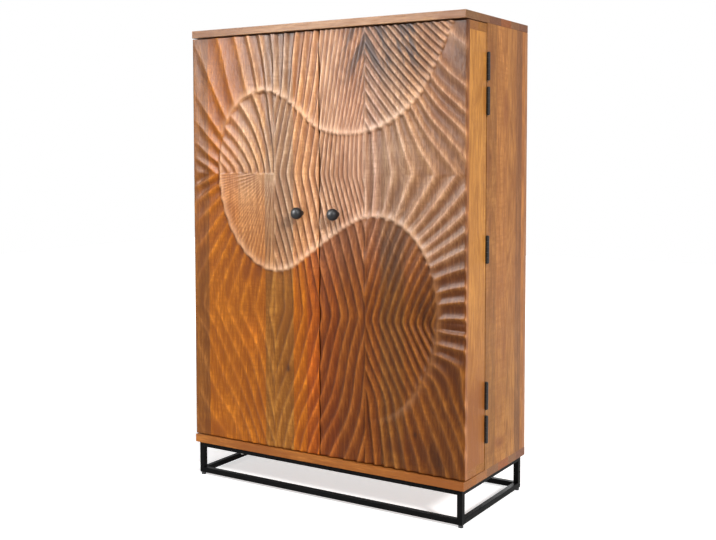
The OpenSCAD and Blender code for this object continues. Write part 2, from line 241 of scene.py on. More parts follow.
def grain(g, tone, shift, along, across, depth, knots=(), clouds=(), wild=1.0, bold=1.0):
    """A plank's tone with its figure laid over it, and the height and unevenness of its surface."""
    far = g.math("ADD", along, g.product(shift, 37.0))
    side = g.math("ADD", across, g.product(shift, 11.0))

    def stretched(fine, long, detail=3.0, rough=0.5, bent=0.0):
        at = g.join(g.product(side, fine), g.product(depth, fine), g.product(far, long))
        return g.noise(at, detail=detail, rough=rough, distortion=bent)

    def lines(field, rate, low):
        return g.span(g.math("SINE", g.product(field, rate)), low, 1)

    field = stretched(7.0, 0.9 * wild, 2.5, 0.45, 0.35)
    if knots:
        knot = nearness(g, across, along, knots)
        field = g.math("ADD", field, g.product(knot, 0.5))
    fibre = stretched(420.0, 7.0, 3, 0.6)
    pores = g.span(stretched(900.0, 26.0, 1), 0.60, 0.70)
    streak = stretched(38.0, 1.3, 4, 0.6)
    blotch = stretched(13.0, 5.0 * wild, 4, 0.6, 0.8)
    flecks = stretched(150.0, 14.0, 3, 0.7)
    curl = g.noise(g.join(g.product(side, 18.0), depth, g.product(far, 130.0)), detail=2)
    curly = g.product(g.span(curl, 0.45, 0.62), g.span(shift, 0.45, 0.75))
    layers = [
        (g.span(blotch, 0.44, 0.68, 0, 0.8 * bold), LIGHT),
        (g.span(blotch, 0.43, 0.30, 0, 0.6 * bold), DULL),
        (g.product(lines(field, RING_RATE, 0.1), 0.36 * bold), DARK),
        (g.product(lines(field, THIN_RING_RATE, 0.2), 0.30 * bold), DARK),
        (g.span(flecks, 0.50, 0.36, 0, 0.55 * bold), DARK),
        (g.span(flecks, 0.52, 0.68, 0, 0.55 * bold), LIGHT),
        (g.product(curly, 0.4), DARK),
        (g.span(fibre, 0.3, 0.75, 0.34, 0.0), DARK),
        (g.product(pores, 0.5), PORE),
    ]
    if knots:
        layers.append((g.span(knot, 0.20, 0.62, 0, 0.7), KNOT_RIM))
    base = g.mix(g.span(streak, 0.34, 0.62), g.shaded(tone, DARK), tone)
    for share, shade in layers:
        base = g.mix(share, base, g.shaded(tone, shade))
    if knots:
        base = g.mix(g.span(knot, 0.62, 0.95, 0, 0.8), base, KNOT_HEART)
    if clouds:
        cloud = g.product(nearness(g, across, along, clouds), g.span(blotch, 0.2, 0.6))
        base = g.mix(g.span(cloud, 0.2, 0.75, 0, 0.8, smooth=True), base, g.shaded(tone, CLOUD))
    height = g.math("SUBTRACT", g.product(fibre, 0.6), g.product(pores, 0.6))
    return base, height, g.span(g.math("ADD", fibre, streak), 0.6, 1.4)


def end_grain(g, tone, shift, along, across, depth):
    """Cut fibres: specks, with the arcs of the rings."""
    at = g.join(g.product(across, 260.0), g.product(depth, 260.0), g.product(along, 20.0))
    speck = g.noise(at, detail=4, rough=0.7)
    bend = g.noise(g.join(g.product(across, 20.0), g.product(depth, 60.0), shift), detail=2)
    arcs = g.span(g.math("SINE", g.product(bend, ARC_RATE)), 0, 1)
    base = g.mix(g.span(speck, 0.35, 0.7), g.shaded(tone, END_DARK), g.shaded(tone, END_LIGHT))
    return g.mix(g.product(arcs, 0.3), base, g.shaded(tone, END_ARC))


def wood(name, along, across, edges, tones, seed, rough=0.40, foot=None, **figure):
    """A board of glued planks, with end grain where its faces cut the fibres, darker towards its foot."""
    g = new_material(name)
    coords = g.add("TexCoord").outputs
    place = g.split(coords["Object"])
    facing = g.split(coords["Normal"])
    deep = ({"x", "y", "z"} - {along, across}).pop()
    length, breadth, depth = (place[AXES[axis]] for axis in (along, across, deep))
    tone, shift = plank_tone(g, breadth, edges, tones, seed)
    base, height, uneven = grain(g, tone, shift, length, breadth, depth, **figure)
    end = g.span(g.math("ABSOLUTE", facing[AXES[along]]), 0.6, 0.8)
    base = g.mix(g.product(end, END_SHARE), base, end_grain(g, tone, shift, length, breadth, depth))
    if foot:
        base = g.mix(g.span(place[2], *FOOT_HEIGHTS), base, g.shaded(base, foot))
    rough = g.math("ADD", g.product(uneven, 0.16), rough - 0.06)
    return g.surface(base, rough, g.bump(height, FIBRE_BUMP, 0.6), Specular_IOR_Level=WOOD_GLOSS)


# Carving of the door fronts, in millimetres on the front plane

AXIS_LEFT, AXIS_RIGHT = -162, 157
ROW_TOP, ROW_UPPER, ROW_LOWER = 1372, 961, 551
KINK = 13
KINKED_STEP = math.hypot(ROW_UPPER - ROW_LOWER, KINK) - KINK

BOWL = dict(cx=100, cz=1340, rx=292, rz=267, lean=0.0)
LOOP = dict(cx=-180, cz=937, rx=192, rz=268, lean=0.09)
OVAL = dict(cx=176, cz=552, rx=212, rz=289, lean=-0.06)
WAVE_START = (442, 1385)


def arc(form, start, end, count):
    """Points along a leaning ellipse, from one angle to another in degrees."""
    t = np.radians(np.linspace(start, end, count))
    up = form["rz"] * np.sin(t)
    return np.column_stack([form["cx"] + form["rx"] * np.cos(t) - form["lean"] * up, form["cz"] + up])


def link(a, b, pull=0.9, count=24):
    """A cubic that leaves the end of stretch a and enters the start of stretch b without a kink."""
    start, end = a[-1], b[0]
    reach = pull * np.linalg.norm(end - start)
    leaving = a[-1] - a[-2]
    entering = b[1] - b[0]
    leaving = reach * leaving / np.linalg.norm(leaving)
    entering = reach * entering / np.linalg.norm(entering)
    t = np.linspace(0, 1, count + 2)[1:-1, None]
    return ((2 * t**3 - 3 * t**2 + 1) * start + (t**3 - 2 * t**2 + t) * leaving
            + (3 * t**2 - 2 * t**3) * end + (t**3 - t**2) * entering)


def wave_line():
    """The one raised line that swings over both doors, from the top right corner to the foot of the oval."""
    bowl = np.vstack([[WAVE_START], arc(BOWL, -25, -108, 60)])
    loop = arc(LOOP, 65, 296, 110)
    oval = arc(OVAL, 112, -134, 110)
    return np.vstack([bowl, link(bowl, loop), loop, link(loop, oval), oval])


def signed_distance(x, z, line):
    """Distance to the line, positive on its right-hand side as it runs, and how far along it that is."""
    start = line[:-1]
    run = line[1:] - start
    length2 = (run**2).sum(1)
    before = np.concatenate([[0], np.cumsum(np.sqrt(length2))])
    best = np.full(x.shape, np.inf)
    side = np.ones(x.shape)
    along = np.zeros(x.shape)
    for i in range(len(start)):
        px = x - start[i, 0]
        pz = z - start[i, 1]
        t = np.clip((px * run[i, 0] + pz * run[i, 1]) / length2[i], 0, 1)
        dist = np.hypot(px - t * run[i, 0], pz - t * run[i, 1])
        near = dist < best - 1e-9
        best = np.where(near, dist, best)
        side = np.where(near, np.sign(run[i, 1] * px - run[i, 0] * pz), side)
        along = np.where(near, (before[i] + t * np.sqrt(length2[i])) / before[-1], along)
    return best * side, along


def smooth(t, low, high):
    """From 0 at low to 1 at high, eased at both ends; low may be the larger."""
    t = np.clip((t - low) / (high - low), 0, 1)
    return t * t * (3 - 2 * t)


def bell(t, centre, half):
    """1 at the centre, falling away to both sides."""
    return np.exp(-(((t - centre) / half) ** 2))


def between(ends, share):
    """The first of two ends at a share of 0, and the second at a share of 1."""
    return ends[0] + (ends[1] - ends[0]) * share


# Widths of the flutes: the places where each width is reached, and the widths

UPPER_LEFT = ([300, 230, 160, 110, 80, 60, 30, 0, -40], [72, 60, 56, 34, 38, 24, 24, 13, 11])
LOWER_LEFT = ([300, 230, 160, 60, 0, -40], [80, 72, 50, 17, 14, 12])
NEAR_LEFT = ([-18, 0, 60, 120], [13, 15, 27, 32])
MIDDLE = ([-330, AXIS_LEFT, -60, 10, AXIS_RIGHT], [26, 22, 28, 17, 15])
TOP_MIDDLE = ([AXIS_LEFT, -85, -40, 10, AXIS_RIGHT], [45, 40, 32, 18, 15])
LOW_MIDDLE = ([AXIS_LEFT, 0, AXIS_RIGHT, 400], [38, 32, 31, 24])
TOP_RIGHT = ([-200, 0, 300], [17, 19, 28])
LOW_RIGHT = ([-150, 0, 250], [22, 22, 26])
FOOT_RIGHT = ([0, 300], [24, 28])

# Rays in the loop: degrees from the axis, and the degrees that a ray takes
LOOP_RAYS = ([0, 25, 60, 90], [6.4, 5.6, 4.8, 4.8])
RAY_HUB = 14
RAY_SPLIT = (100, 165)

# The right-hand fan is counted on the logarithm of the way from its axis
RIGHT_FAN = ([0, 0.35, 0.84, 1.25, 1.7, 2.3, 2.6, 3.0, 3.6, 4.3, 6],
             [0.46, 0.46, 0.48, 0.3, 0.2, 0.19, 0.28, 0.45, 0.5, 1.1, 1.4])
RIGHT_FAN_UNIT = 60

# How the flutes between the axes lean, in mm across for each mm away from a row; a pair runs left to right
TOP_LEAN = ([AXIS_LEFT, -90, -40, 0, 60, AXIS_RIGHT], [0.03, 0.16, 0.18, 0.14, 0.20, 0.28])
INNER_LEAN, INNER_LEAN_LOW = (0.25, 0.04), 0.30
OUTER_LEAN, OUTER_LEAN_LOW = (0.05, 0.30), (0.36, 0.24)
LEAN_TURNS = (-60, AXIS_RIGHT)
OUTER_LEAN_TURNS = (AXIS_LEFT, 40)

# Leads and reaches of the other flutes, in mm
NEAR_LEFT_LEAD = 18
NEAR_LEFT_REACHES = (185, 300)  # above the upper row, and below it
LEFT_FOOT_LEAD, LEFT_FOOT_REACH = 180, 600
LEFT_FAN_LEAD, LEFT_FAN_REACH = 40, 110
LEFT_FAN_OPENING, LEFT_FAN_POWER = 1.4, 0.714
RIGHT_FAN_REACH = 270
RIGHT_SWEEP_LEAD, RIGHT_SWEEP_POWER = 22, 1.333
TOP_RIGHT_LEAD, TOP_RIGHT_REACH = 290, 430
LOW_RIGHT_LEADS = (280, 210)  # below the lower row, and above it
LOW_RIGHT_REACH = 700
FOOT_RIGHT_LEAD, FOOT_RIGHT_REACH = 120, 900

# Where the right-hand patterns join the foot's: one point of each, and the heights of the change
JOIN_IN, JOIN_OUT = (250, 125), (50, 200)
CHANGE_IN, CHANGE_OUT = (50, 200), (150, 280)

WANDER = (0.16, 0.30)
WANDER_GROWS = (640, 520)
TALLY_POINTS = 4000


def tally(u, places, widths):
    """How many flutes lie between the first place and u, where their width changes along the way."""
    if places[0] > places[-1]:
        return -tally(-np.asarray(u), [-place for place in places], widths)
    fine = np.linspace(places[0], places[-1], TALLY_POINTS)
    per_mm = 1 / np.interp(fine, places, widths)
    total = np.concatenate([[0], np.cumsum((per_mm[1:] + per_mm[:-1]) / 2 * np.diff(fine))])
    inside = np.interp(u, fine, total)
    before = np.minimum(u - places[0], 0) / widths[0]
    after = np.maximum(u - places[-1], 0) / widths[-1]
    return inside + before + after


def kinked(z, row):
    """Height above or below a row, rounded where it crosses the row."""
    return np.hypot(z - row, KINK) - KINK


def spread(a, b, lead, reach):
    """Where a flute at distance a from its axis crosses its row, b away; it leans by (a + lead) / reach."""
    return (a + lead) * np.exp(-b / reach) - lead


def left_flutes(x, z):
    """Flutes left of the left axis: inside the band, and outside it in a fan."""
    left = AXIS_LEFT - x
    upper = z > ROW_UPPER
    lower = z < ROW_LOWER
    off_upper = kinked(z, ROW_UPPER)
    near = spread(left, off_upper, NEAR_LEFT_LEAD, np.where(upper, *NEAR_LEFT_REACHES))
    at_row = np.where(lower, spread(left, -kinked(z, ROW_LOWER), LEFT_FOOT_LEAD, LEFT_FOOT_REACH), left)
    opened = 1 + LEFT_FAN_OPENING * np.where(lower, KINKED_STEP, off_upper) / LEFT_FAN_REACH
    fan = (at_row + LEFT_FAN_LEAD) / opened**LEFT_FAN_POWER - LEFT_FAN_LEAD
    return -tally(near, *NEAR_LEFT), -np.where(upper, tally(fan, *UPPER_LEFT), tally(fan, *LOWER_LEFT))


def middle_flutes(x, z):
    """Flutes between the axes: they run nearly upright and lean towards a row."""
    upper = z > ROW_UPPER
    lower = z < ROW_LOWER
    towards_right = smooth(x, *LEAN_TURNS)
    lean = np.where(upper, between(INNER_LEAN, towards_right), INNER_LEAN_LOW)
    inner = tally(x - kinked(z, ROW_UPPER) * lean, *MIDDLE)
    top = tally(x + np.interp(x, *TOP_LEAN) * (ROW_TOP - z), *TOP_MIDDLE)
    lean = np.where(lower, between(OUTER_LEAN_LOW, towards_right),
                    between(OUTER_LEAN, smooth(x, *OUTER_LEAN_TURNS)))
    low = tally(x + kinked(z, ROW_LOWER) * lean, *LOW_MIDDLE)
    return inner, np.where(upper, top, low)


def right_fan(swept):
    """Flutes of the right-hand fan, counted from its axis by where they cross the row."""
    return tally(np.log1p(np.maximum(swept, 0) / RIGHT_FAN_UNIT), *RIGHT_FAN)


def swept_up(right, off_lower):
    """Where a flute right of the oval, off_lower from the lower row, crosses the upper row."""
    steepness = (KINKED_STEP + RIGHT_SWEEP_LEAD) / (off_lower + RIGHT_SWEEP_LEAD)
    return right * steepness**RIGHT_SWEEP_POWER


def right_foot(right, off_lower):
    """Flutes near the foot of the right door."""
    return tally(spread(right, off_lower, FOOT_RIGHT_LEAD, FOOT_RIGHT_REACH), *FOOT_RIGHT)


def right_low(right, off_lower, lower):
    """Flutes outside the band, right of the right axis and below the upper row."""
    return tally(spread(right, off_lower, np.where(lower, *LOW_RIGHT_LEADS), LOW_RIGHT_REACH), *LOW_RIGHT)


def right_flutes(x, z):
    """Flutes right of the right axis; inside and outside become one pattern near the foot."""
    right = x - AXIS_RIGHT
    upper = z > ROW_UPPER
    lower = z < ROW_LOWER
    off_lower = kinked(z, ROW_LOWER)
    above = right_fan(right * np.exp(kinked(z, ROW_UPPER) / RIGHT_FAN_REACH))
    inner = np.where(upper, above, right_fan(swept_up(right, off_lower)))
    low = right_low(right, off_lower, lower)
    # the counts are brought level at one point of each, so that the patterns join whole
    foot = right_foot(right, off_lower)
    step_in = right_fan(swept_up(*JOIN_IN)) - right_foot(*JOIN_IN)
    step_out = right_low(*JOIN_OUT, True) - right_foot(*JOIN_OUT)
    step_out = step_in + np.round(step_out - step_in)
    inner = np.where(lower, inner + (foot + step_in - inner) * smooth(off_lower, *CHANGE_IN), inner)
    low = np.where(lower, low + (foot + step_out - low) * smooth(off_lower, *CHANGE_OUT), low)
    top = tally(spread(right, ROW_TOP - z, TOP_RIGHT_LEAD, TOP_RIGHT_REACH), *TOP_RIGHT)
    return inner, np.where(upper, top, low)


def flutes(x, z):
    """Phase of the flutes inside the band and outside it: one whole number a flute.

    The flutes run out from two upright axes and kink where they cross the rows.
    """
    wander = (np.sin(x / 61 + z / 83) + np.sin(x / 37 - z / 113 + 2) + np.sin(z / 47 + x / 151 + 4)) / 3
    wander = wander * between(WANDER, smooth(z, *WANDER_GROWS))
    phases = []
    for left, middle, right in zip(left_flutes(x, z), middle_flutes(x, z), right_flutes(x, z)):
        phases.append(np.where(x < AXIS_LEFT, left, np.where(x < AXIS_RIGHT, middle, right)) + wander)
    return phases


def loop_rays(x, z):
    """Fine rays from the axis, below the upper row: each splits in two halfway to the line."""
    left = np.maximum(AXIS_LEFT - x, 0)
    below = np.maximum(ROW_UPPER - z, 0) + RAY_HUB
    turned = np.degrees(np.arctan2(left, below))
    return -tally(turned, *LOOP_RAYS), smooth(np.hypot(left, below), *RAY_SPLIT)


# Cross-section of the flutes: their depth and the sharpness of their crests by their width

DEPTHS = ([3, 8, 14, 22, 35, 60], [0, 3.4, 5.6, 6.8, 6.8, 5.4])
SHARPNESS = ([24, 42], [1.6, 1.0])
WIDEST = 60
FINEST = (3, 7)
FLATTEST = 0.0001
CREST_SHARE, CREST_LIMITS = 0.15, (2.6, 6)
OWN_DEPTH, OWN_SPREAD = 0.85, 0.2
SCATTER_RATE, SCATTER_START = 12.9898, 1.7


def gouge(phase, step, slant):
    """Depth of the flutes below their crests, how hollow and how near a crest a place is, and the width."""
    gz, gx = np.gradient(phase, step)
    width = np.minimum(1 / np.maximum(np.hypot(gx, gz), FLATTEST), WIDEST)
    t = np.mod(phase, 1)
    warp = np.where(t < slant, t / slant * 0.5, 0.5 + (t - slant) / (1 - slant) * 0.5)
    own = OWN_DEPTH + OWN_SPREAD * np.sin(np.floor(phase) * SCATTER_RATE + SCATTER_START)
    wide_enough = smooth(width, *FINEST)
    hollow = (4 * warp * (1 - warp)) ** np.interp(width, *SHARPNESS) * wide_enough
    crest = bell(np.minimum(t, 1 - t) * width, 0, np.clip(CREST_SHARE * width, *CREST_LIMITS)) * wide_enough
    return np.interp(width, *DEPTHS) * own * hollow, hollow, crest, width


# Changes of the flutes' depth, each with the ranges over which it comes in across and up

CUT_CHANGES = [
    (-0.50, [(60, -160)], [(740, 600)]),
    (-0.35, [(-380, -430)], [(900, 1000), (1280, 1200)]),
    (0.30, [(340, 430)], [(1050, 1200)]),
    (-0.35, [(-260, -330)], [(900, 1000)]),
    (-0.25, [(150, 400)], [(480, 300)]),
    (-0.35, [(-240, -320)], [(930, 860)]),
    (0.35, [(-270, -200), (-40, -90)], [(1120, 1190)]),
]


def cut_strength(x, z, in_loop, distance):
    """Share of their full depth that the flutes have at each place."""
    cut = 1 - 0.3 * smooth(x, 40, 120) * bell(z, 1010, 80)
    for change, across, up in CUT_CHANGES:
        for ramp in across:
            change = change * smooth(x, *ramp)
        for ramp in up:
            change = change * smooth(z, *ramp)
        cut = cut * (1 + change)
    cut = cut * (0.1 + 0.9 * smooth(x, -475, -440))
    cut = cut * np.where(in_loop, 1 - 0.4 * smooth(ROW_UPPER - z, -12, 30), 1)
    # low on the right the flutes die away on both sides of the line
    joint = smooth(x, 250, 330) * smooth(z, 720, 660) * bell(distance, 0, 10)
    return cut * (1 - 0.8 * joint)


RELIEF = 10.5
LIP = 2.8
LIP_HALF = 6
LIP_REACH = 38
# reach of the rim's wear and painted highlight, and of the painted shadow below the line
LIP_TINT_REACH = 15
UNDER_REACH = 16
TOOTH = 0.05
TOOTH_WIDEST = 30
TURN_X, TURN_Z = -340, 1060
TURN_SLOPE, TURN_REACH = 0.2, 60
# shares of the line's whole way, over which it rises at its start and the line and the band fade out
LINE_RISES, LINE_FADES, BAND_FADES = (0.03, 0.12), (0.80, 0.95), (0.86, 0.985)
FIRST_STRENGTH = 0.3


def relief(x, z, step):
    """Height of the front below its highest ridges, and the shares, 0 to 1, that tint its wood and place
    painted shade, sheen and highlights on it.
    """
    distance, along = signed_distance(x, z, wave_line())
    inner, outer = flutes(x, z)
    slant = 0.56 + 0.12 * smooth(x, -300, -100) - 0.24 * smooth(x, 100, 260)
    *cut_in, width_in = gouge(inner, step, slant)
    *cut_out, width_out = gouge(outer, step, slant)
    ray, split = loop_rays(x, z)
    whole = gouge(ray, step, slant)
    halved = gouge(2 * ray, step, slant)
    rays = (x < AXIS_LEFT) & (z < ROW_UPPER)
    cut_in = [np.where(rays, between((a, b), split), plain) for a, b, plain in zip(whole, halved, cut_in)]
    # the raised side of the line is its outer side above, and its inner side below
    turn = np.tanh((z - TURN_Z + TURN_SLOPE * (x - TURN_X)) / TURN_REACH)
    teeth = np.where(turn > 0, np.cos(2 * np.pi * outer) * np.minimum(width_out, TOOTH_WIDEST),
                     np.cos(2 * np.pi * inner) * np.minimum(width_in, TOOTH_WIDEST))
    edge = distance + TOOTH * teeth
    outside = edge > 0
    by_outer = outside | ((z < ROW_LOWER) & (x < AXIS_RIGHT))
    deep, hollow, crest = [np.where(by_outer, out, within) for out, within in zip(cut_out, cut_in)]
    cut = cut_strength(x, z, ~by_outer & (x < AXIS_LEFT), distance)
    crest = crest * np.minimum(0.35 + 0.65 * cut, 1)
    shallow = 1 - 0.85 * smooth(x, 270, 350) * smooth(z, 760, 690)
    strength = between((FIRST_STRENGTH, 1), smooth(along, *LINE_RISES)) * (1 - smooth(along, *LINE_FADES))
    strength = strength * shallow * np.abs(turn)
    inward = edge * np.sign(turn)
    rise = smooth(inward, -LIP_HALF, LIP_HALF)
    rim = strength * rise * np.exp(-np.maximum(inward, 0) / LIP_REACH)
    # lip: the rim's wear and painted highlight
    lip = strength * rise * bell(np.maximum(inward, 0), 0, LIP_TINT_REACH)
    # painted shadow on the low side of the line
    under = strength * (1 - rise) * np.exp(np.minimum(inward, 0) / UNDER_REACH)
    cut = cut * (1 - 0.6 * lip)
    height = LIP * (rim - 1) - deep * cut
    band = np.where(outside, 0, 1) * (1 - smooth(along, *BAND_FADES)) * shallow
    # hollow: stain with painted shade; band: more painted sheen; lip and crest: wear with a painted
    # highlight; under: painted shadow
    shares = {"hollow": np.clip(hollow * cut, 0, 1), "band": band, "lip": lip, "under": under, "crest": crest}
    return np.clip(height, -RELIEF, 0), shares


# The carved fronts as meshes: a height field, closed by its edges and back

GRID = 2.5
OVER = 2
SEAT_DEPTH, SEAT_R, SEAT_BLEND = 6, 9, 9
EDGE_ROUND = 1.2
AT_EDGE = 0.1


def averaged_relief(xs, zs):
    """The relief at the grid's points, each the mean of the finer points around it."""
    fine_x = np.interp(np.arange((len(xs) - 1) * OVER + 1) / OVER, np.arange(len(xs)), xs)
    fine_z = np.interp(np.arange((len(zs) - 1) * OVER + 1) / OVER, np.arange(len(zs)), zs)
    height, shares = relief(*np.meshgrid(fine_x, fine_z), GRID / OVER)

    def mean(layer):
        padded = np.pad(layer, 1, mode="edge")
        rows = padded[:-2] + 2 * padded[1:-1] + padded[2:]
        return ((rows[:, :-2] + 2 * rows[:, 1:-1] + rows[:, 2:]) / 16)[::OVER, ::OVER]

    return mean(height), {name: mean(layer) for name, layer in shares.items()}


def fitted(height, xs, zs, side):
    """The height with a flat seat for the knob's neck and rounded outer edges."""
    x, z = np.meshgrid(xs, zs)
    low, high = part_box(f"door_{side}_knob")
    from_knob = np.hypot(x - (low.x + high.x) / 2 / MM, z - (low.z + high.z) / 2 / MM)
    height = -SEAT_DEPTH + (height + SEAT_DEPTH) * smooth(from_knob, SEAT_R, SEAT_R + SEAT_BLEND)
    from_edge = np.minimum.reduce([x - xs[0], xs[-1] - x, z - zs[0], zs[-1] - z])
    return np.where(from_edge < AT_EDGE, np.maximum(height - EDGE_ROUND, -RELIEF - EDGE_ROUND), height)


def closed_mesh(name, front, rows, columns, back_y):
    """A mesh of a front's grid of points, with walls to a flat back."""
    ring = np.concatenate([
        np.arange(columns - 1),
        np.arange(rows - 1) * columns + columns - 1,
        (rows - 1) * columns + np.arange(columns - 1, 0, -1),
        np.arange(rows - 1, 0, -1) * columns])
    back = front[ring].copy()
    back[:, 1] = back_y
    index = np.arange(rows * columns).reshape(rows, columns)
    quads = np.stack([index[:-1, :-1], index[:-1, 1:], index[1:, 1:], index[1:, :-1]], -1).reshape(-1, 4)
    first = rows * columns
    here = np.arange(len(ring))
    after = (here + 1) % len(ring)
    walls = np.stack([ring[after], ring[here], first + here, first + after], -1)
    faces = quads.tolist() + walls.tolist() + [list(range(first, first + len(ring)))]
    mesh = bpy.data.meshes.new(name)
    mesh.from_pydata(np.vstack([front, back]).tolist(), [], faces)
    mesh.polygons.foreach_set("use_smooth", [i < len(quads) for i in range(len(faces))])
    return mesh


def carved_panel(side, material):
    """The carved front of one door, which stands for the plain panel."""
    node = f"door_{side}_panel"
    low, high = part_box(node)
    columns = round((high.x - low.x) / MM / GRID) + 1
    rows = round((high.z - low.z) / MM / GRID) + 1
    xs = np.linspace(low.x, high.x, columns) / MM
    zs = np.linspace(low.z, high.z, rows) / MM
    height, shares = averaged_relief(xs, zs)
    height = fitted(height, xs, zs, side)
    x, z = np.meshgrid(xs, zs)
    front = np.column_stack([x.ravel() * MM, low.y - height.ravel() * MM, z.ravel() * MM])
    mesh = closed_mesh(f"carved_front_{side}", front, rows, columns, high.y)
    for name, values in shares.items():
        data = np.zeros(len(mesh.vertices), np.float32)
        data[:values.size] = values.ravel()
        mesh.attributes.new(name, "FLOAT", "POINT").data.foreach_set("value", data)
    mesh.update()
    mesh.validate()
    mesh.materials.append(material)
    piece = bpy.data.objects.new(f"carved_front_{side}", mesh)
    bpy.context.collection.objects.link(piece)
    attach(piece, f"door_{side}")
    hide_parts(node)


# Wood of the carved fronts, in metres: a tone for each plank below and a paler one above that paints the
# sheen of a high light, and spots

FRONT_EDGES = [-0.476, -0.418, -0.300, -0.198, -0.095, -0.045, 0.0, 0.065, 0.150, 0.205, 0.285, 0.365, 0.476]
FRONT_TONES = [
    colour(152, 96, 40), colour(194, 116, 30), colour(188, 112, 28), colour(168, 112, 44),
    colour(198, 116, 28), colour(184, 98, 28), colour(154, 84, 30), colour(148, 86, 32),
    colour(144, 84, 30), colour(138, 88, 36), colour(140, 84, 30), colour(132, 80, 30)]
# paler tones, which paint the sheen of a high light on the upper fronts
FRONT_SHEEN_TONES = [
    colour(176, 130, 96), colour(214, 160, 112), colour(214, 170, 124), colour(204, 173, 142),
    colour(234, 182, 132), colour(236, 186, 140), colour(222, 182, 148), colour(212, 169, 138),
    colour(203, 168, 142), colour(203, 168, 136), colour(208, 168, 130), colour(214, 170, 130)]
FRONT_SEED = 5
FRONT_CLOUDS = [
    (-0.120, 0.480, 0.034, 0.150), (-0.445, 0.700, 0.016, 0.200), (0.300, 0.200, 0.090, 0.030),
    (-0.250, 0.660, 0.060, 0.030), (-0.220, 0.260, 0.020, 0.060), (0.410, 0.420, 0.030, 0.050),
    (-0.070, 0.185, 0.020, 0.034), (-0.400, 0.160, 0.090, 0.030)]
FRONT_LIGHTS = [
    (0.178, 0.740, 0.030, 0.090), (0.325, 0.700, 0.050, 0.055), (-0.146, 0.700, 0.040, 0.034),
    (-0.447, 0.800, 0.024, 0.110), (-0.022, 0.380, 0.022, 0.060), (-0.250, 0.460, 0.040, 0.050)]
FRONT_SOOT = [(0.235, 0.720, 0.050, 0.130), (0.350, 0.600, 0.030, 0.100), (0.380, 0.180, 0.060, 0.040)]
FRONT_KNOTS = [(-0.112, 0.380, 0.011, 0.020), (0.320, 0.238, 0.008, 0.014)]
FRONT_EDGE = colour(180, 120, 70)
ASH = colour(76, 68, 66)
RIM_WEAR_AND_HIGHLIGHT = colour(226, 184, 148)
SEAM_GAP_SHADOW = (0.25, 0.2, 0.16)
UNDER_TOP_BOARD_SHADOW = (0.66, 0.62, 0.6)
PALE_SHADE = (1.5, 1.42, 1.36)
SMOKE_SHADE = (0.5, 0.47, 0.46)
SOOT_SHADE = (0.55, 0.55, 0.66)
CORNER_SHADE = (0.68, 0.68, 0.72)
WAIST_SHADE = (0.82, 0.79, 0.72)
UPPER_LEFT_SHADE = (0.86, 0.89, 0.98)
HOLLOW_STAIN_AND_SHADE = (0.46, 0.34, 0.26)
UNDER_LINE_SHADOW = (0.62, 0.42, 0.26)
WORN_AND_HIGHLIGHT_SHADE = (1.55, 1.7, 2.1)


def front_tone_and_sheen(g, x, z, band):
    """Tone of a front's plank, made paler and greyer above and along the band by a painted sheen."""
    tone, shift = plank_tone(g, x, FRONT_EDGES, FRONT_TONES, FRONT_SEED)
    pale, _ = plank_tone(g, x, FRONT_EDGES, FRONT_SHEEN_TONES, FRONT_SEED)
    up = g.math("ADD", z, g.product(band, 0.26))
    inland = g.math("ADD", x, g.product(band, 0.09))
    brown = g.product(g.span(x, -0.08, -0.18), g.span(z, 0.975, 0.84))
    # share of the painted sheen: more up high and along the band, less towards the outer edges and low on the
    # left door
    high = g.product(
        g.span(up, 0.60, 1.12, smooth=True),
        g.span(inland, -0.34, -0.19, 0, 1),
        g.span(x, 0.26, 0.46, 0.86, 0.42),
        g.math("SUBTRACT", 1.0, g.product(brown, 0.5)))
    return g.mix(high, tone, pale), shift


def smoked(g, base, x, y, z):
    """Charcoal streaks that run with the flutes of the bowl and of the oval."""
    smoke = g.product(g.within((z, 1.17, 1.30), (x, 0.02, 0.14)), g.span(x, 0.41, 0.34))
    base = g.mix(g.product(smoke, 0.42), base, g.shaded(base, SMOKE_SHADE))
    away = g.math("ABSOLUTE", g.math("SUBTRACT", x, AXIS_RIGHT * MM))
    drawn = g.math("ADD", away, g.product(z, 0.5))
    ash = g.noise(g.join(g.product(drawn, 26.0), y, g.product(z, 5.0)), detail=4, rough=0.65)
    base = g.mix(g.product(g.span(ash, 0.50, 0.58), smoke, 0.85), base, ASH)
    near = g.span(nearness(g, x, z, FRONT_SOOT), 0.25, 0.8)
    return g.mix(g.product(near, g.span(ash, 0.44, 0.56, 0.25, 0.9)), base, g.shaded(base, SOOT_SHADE))


